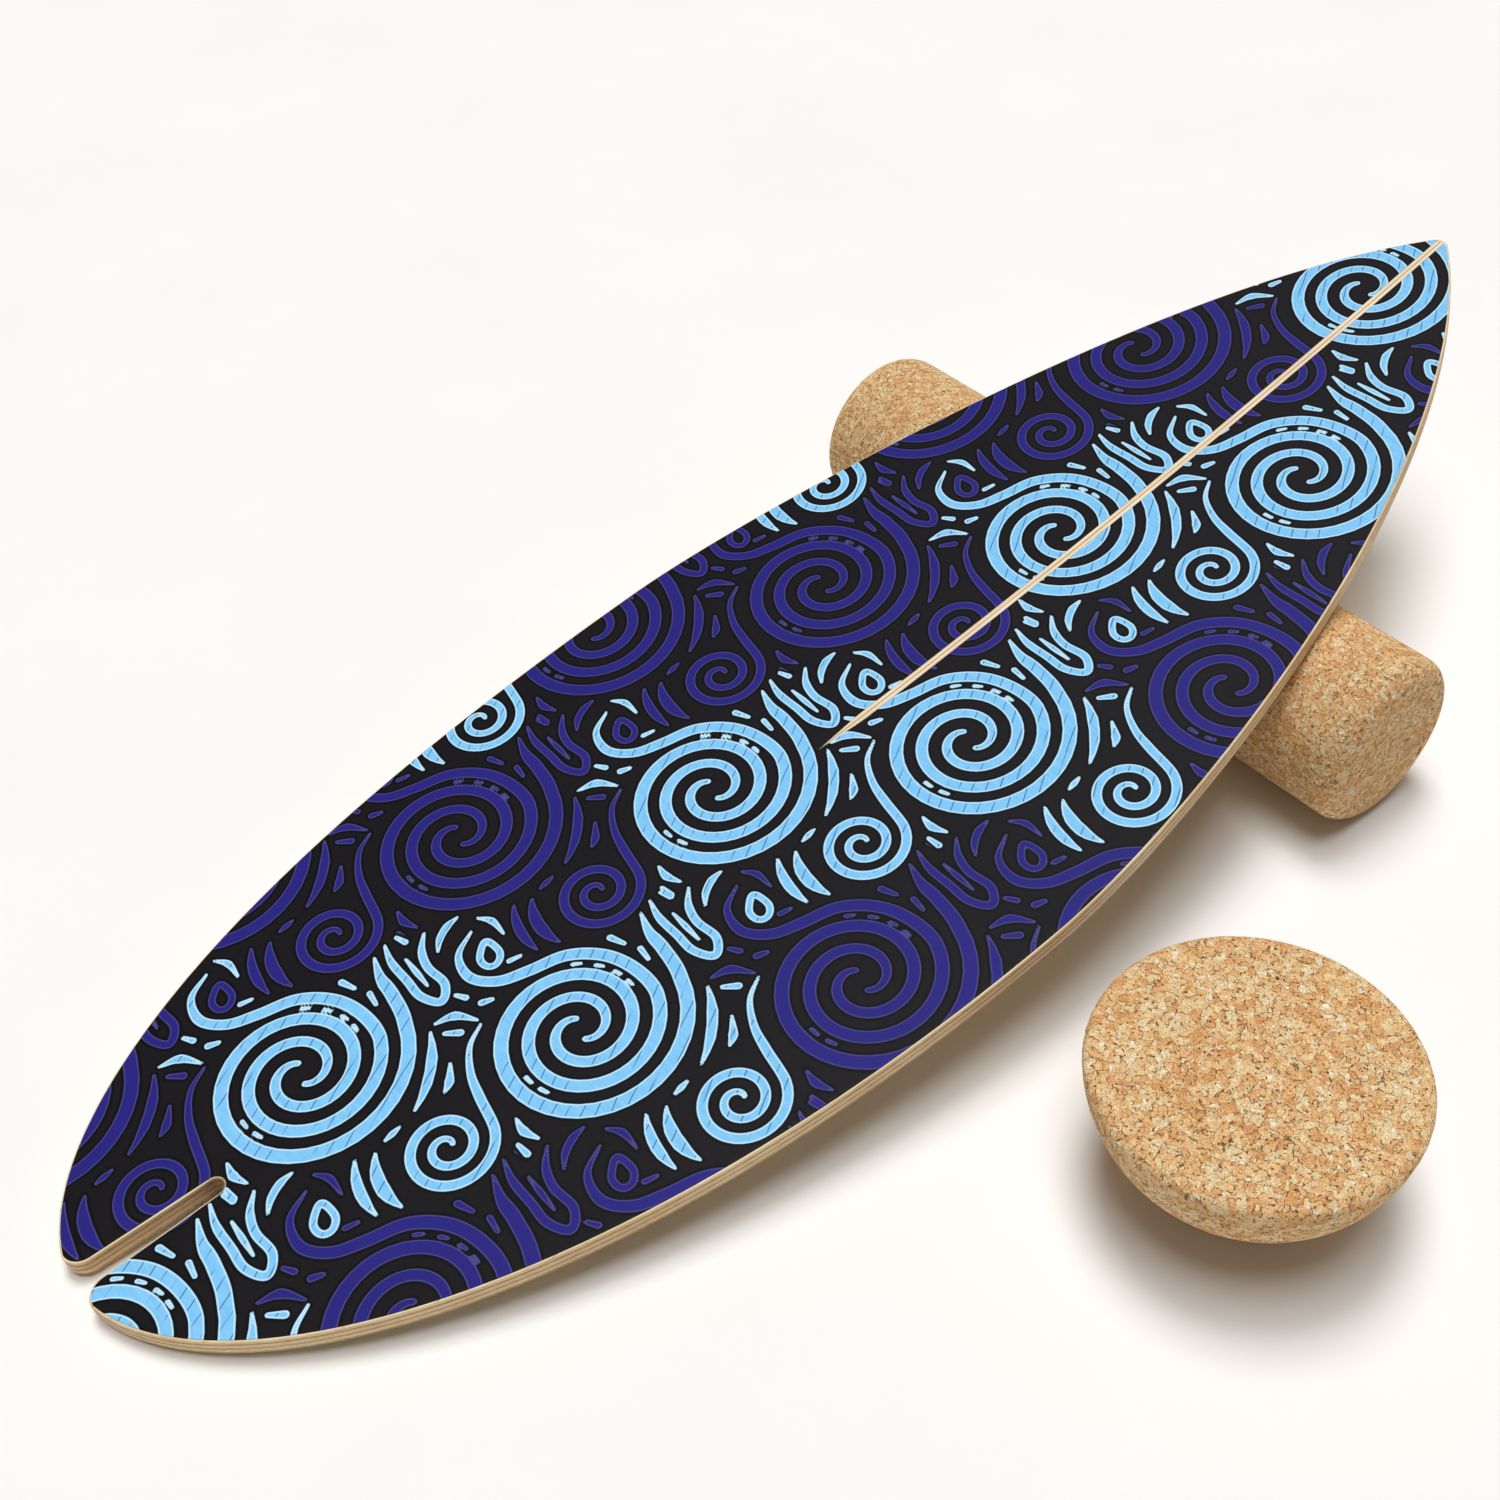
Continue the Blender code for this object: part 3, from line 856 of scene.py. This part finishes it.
def turned(name, profile, axis, centre, seed):
    """A solid of revolution of a profile of radii and heights, about an axis through the centre. Each
    point is sunk along the profile's normal by crumbs of two sizes and by scattered pits."""
    profile = np.vstack(profile)
    profile = profile[np.append(True, np.linalg.norm(np.diff(profile, axis=0), axis=1) > SAME_POINT)]
    slope = np.gradient(profile, axis=0)
    slope /= np.linalg.norm(slope, axis=1)[:, None]
    count = int(2 * math.pi * profile[:, 0].max() / CORK_STEP)
    angle = np.linspace(0.0, 2 * np.pi, count + 1)
    angle[-1] = 0.0
    out = np.stack([np.cos(angle), np.sin(angle), np.zeros_like(angle)], axis=1)
    up = np.array([0.0, 0.0, 1.0])
    points = profile[:, 0, None, None] * out + profile[:, 1, None, None] * up
    normal = slope[:, 1, None, None] * out - slope[:, 0, None, None] * up
    flat = points.reshape(-1, 3)
    coarse, medium = lump(flat, COARSE_CRUMB, seed), lump(flat, MEDIUM_CRUMB, seed + 1)
    pits = np.clip(lump(flat, PIT_SIZE, seed + 2) - PIT_THRESHOLD, 0.0, 1.0) * PIT_SINK
    sink = (COARSE_SINK * coarse + MEDIUM_SINK * medium + pits).reshape(points.shape[:2])[..., None]
    sink[[0, -1]] = 0.0
    points = points - normal * sink
    if axis == "Y":
        points = np.stack([points[..., 1], points[..., 2], points[..., 0]], axis=-1)
    return piece_from_grids(name, [(points + np.array(centre), None)], sharp=80)


length = roller_high.y - roller_low.y
inner = AXIS_HEIGHT - ROLLER_EDGE
roller = turned("roller_cork", (
    line((0.0, 0.0), (inner, 0.0)),
    arc((inner, ROLLER_EDGE), ROLLER_EDGE, -90, 0),
    line((AXIS_HEIGHT, ROLLER_EDGE), (AXIS_HEIGHT, length - ROLLER_EDGE)),
    arc((inner, length - ROLLER_EDGE), ROLLER_EDGE, 0, 90),
    line((inner, length), (0.0, length)),
), "Y", (AXIS_X, roller_low.y, AXIS_HEIGHT), seed=11)
roller.data.materials.append(cork_finish("roller_cork", 0.0028))
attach(roller, "roller")
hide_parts("cork_roller")

ball_radius = (ball_high.x - ball_low.x) / 2
ball_top = ball_high.z
rim = (ball_radius - BALL_RIM, ball_top - BALL_RIM)
dome = (rim[0] ** 2 + rim[1] ** 2 - BALL_RIM ** 2) / (2 * (rim[1] - BALL_RIM))
meet = math.degrees(math.atan2(rim[1] - dome, rim[0]))
half_ball = turned("half_ball_cork", (
    arc((0.0, dome), dome, -90, meet),
    arc(rim, BALL_RIM, meet, 90),
    line((rim[0], ball_top), (0.0, ball_top)),
), "Z", ((ball_low.x + ball_high.x) / 2, (ball_low.y + ball_high.y) / 2, 0.0), seed=29)
half_ball.data.materials.append(cork_finish("half_ball_cork", 0.0037))
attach(half_ball, "half_ball")
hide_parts("cork_half_ball")


# ---------------------------------------------------------------- floor, light and camera

FLOOR_HALF = 8.0
floor_mesh = bpy.data.meshes.new("floor")
corners = [(x * FLOOR_HALF, y * FLOOR_HALF, 0.0) for x, y in ((-1, -1), (1, -1), (1, 1), (-1, 1))]
floor_mesh.from_pydata(corners, [], [(0, 1, 2, 3)])
floor = bpy.data.objects.new("floor", floor_mesh)
floor_mesh.materials.append(floor_finish())
bpy.context.scene.collection.objects.link(floor)


def soft_light(name, direction, spread, strength, tint):
    """A distant light that shines from a direction, as soft as its spread in degrees."""
    data = bpy.data.lights.new(name, "SUN")
    data.angle = math.radians(spread)
    data.energy = strength
    data.color = tint
    made = bpy.data.objects.new(name, data)
    made.rotation_euler = Vector(direction).to_track_quat("Z", "Y").to_euler()
    bpy.context.scene.collection.objects.link(made)


soft_light("key", direction=(0.18, 0.24, 1.0), spread=22.0, strength=1.47, tint=(1.0, 0.99, 0.98))
soft_light("overhead", direction=(-0.04, -0.02, 1.0), spread=32.0, strength=1.55, tint=(1.0, 1.0, 1.0))

# The surroundings are bright along the horizon and dim overhead. The first two numbers are the heights,
# as the upward part of a direction, where the strength goes from the third number to the fourth.
SURROUNDINGS = {"From Min": 0.02, "From Max": 0.34, "To Min": 0.40, "To Max": 0.08}
SURROUNDINGS_TINT = (1.0, 0.97, 0.93, 1.0)
world = bpy.data.worlds.new("studio")
world.use_nodes = True
sky = world.node_tree
heading = sky.nodes.new("ShaderNodeTexCoord")
parts = sky.nodes.new("ShaderNodeSeparateXYZ")
height = sky.nodes.new("ShaderNodeMapRange")
height.interpolation_type = "SMOOTHSTEP"
for socket, value in SURROUNDINGS.items():
    height.inputs[socket].default_value = value
sky.links.new(heading.outputs["Generated"], parts.inputs[0])
sky.links.new(parts.outputs["Z"], height.inputs["Value"])
sky.links.new(height.outputs[0], sky.nodes["Background"].inputs["Strength"])
sky.nodes["Background"].inputs["Color"].default_value = SURROUNDINGS_TINT
bpy.context.scene.world = world
bpy.context.scene.view_settings.view_transform = "Standard"

CAMERA_PLACE = (-0.4764, -0.4753, 0.7447)
LOOK = Vector((0.42829, 0.58033, -0.69267)).normalized()
UP = Vector((0.45622, 0.5228, 0.7201))
LENS = 44.427
SENSOR = 36.0
camera_data = bpy.data.cameras.new("camera")
camera_data.lens = LENS
camera_data.sensor_width = SENSOR
camera = bpy.data.objects.new("camera", camera_data)
right = LOOK.cross(UP).normalized()
camera.matrix_world = (Matrix.Translation(CAMERA_PLACE)
                       @ Matrix((right, right.cross(LOOK), -LOOK)).transposed().to_4x4())
bpy.context.scene.collection.objects.link(camera)
bpy.context.scene.camera = camera
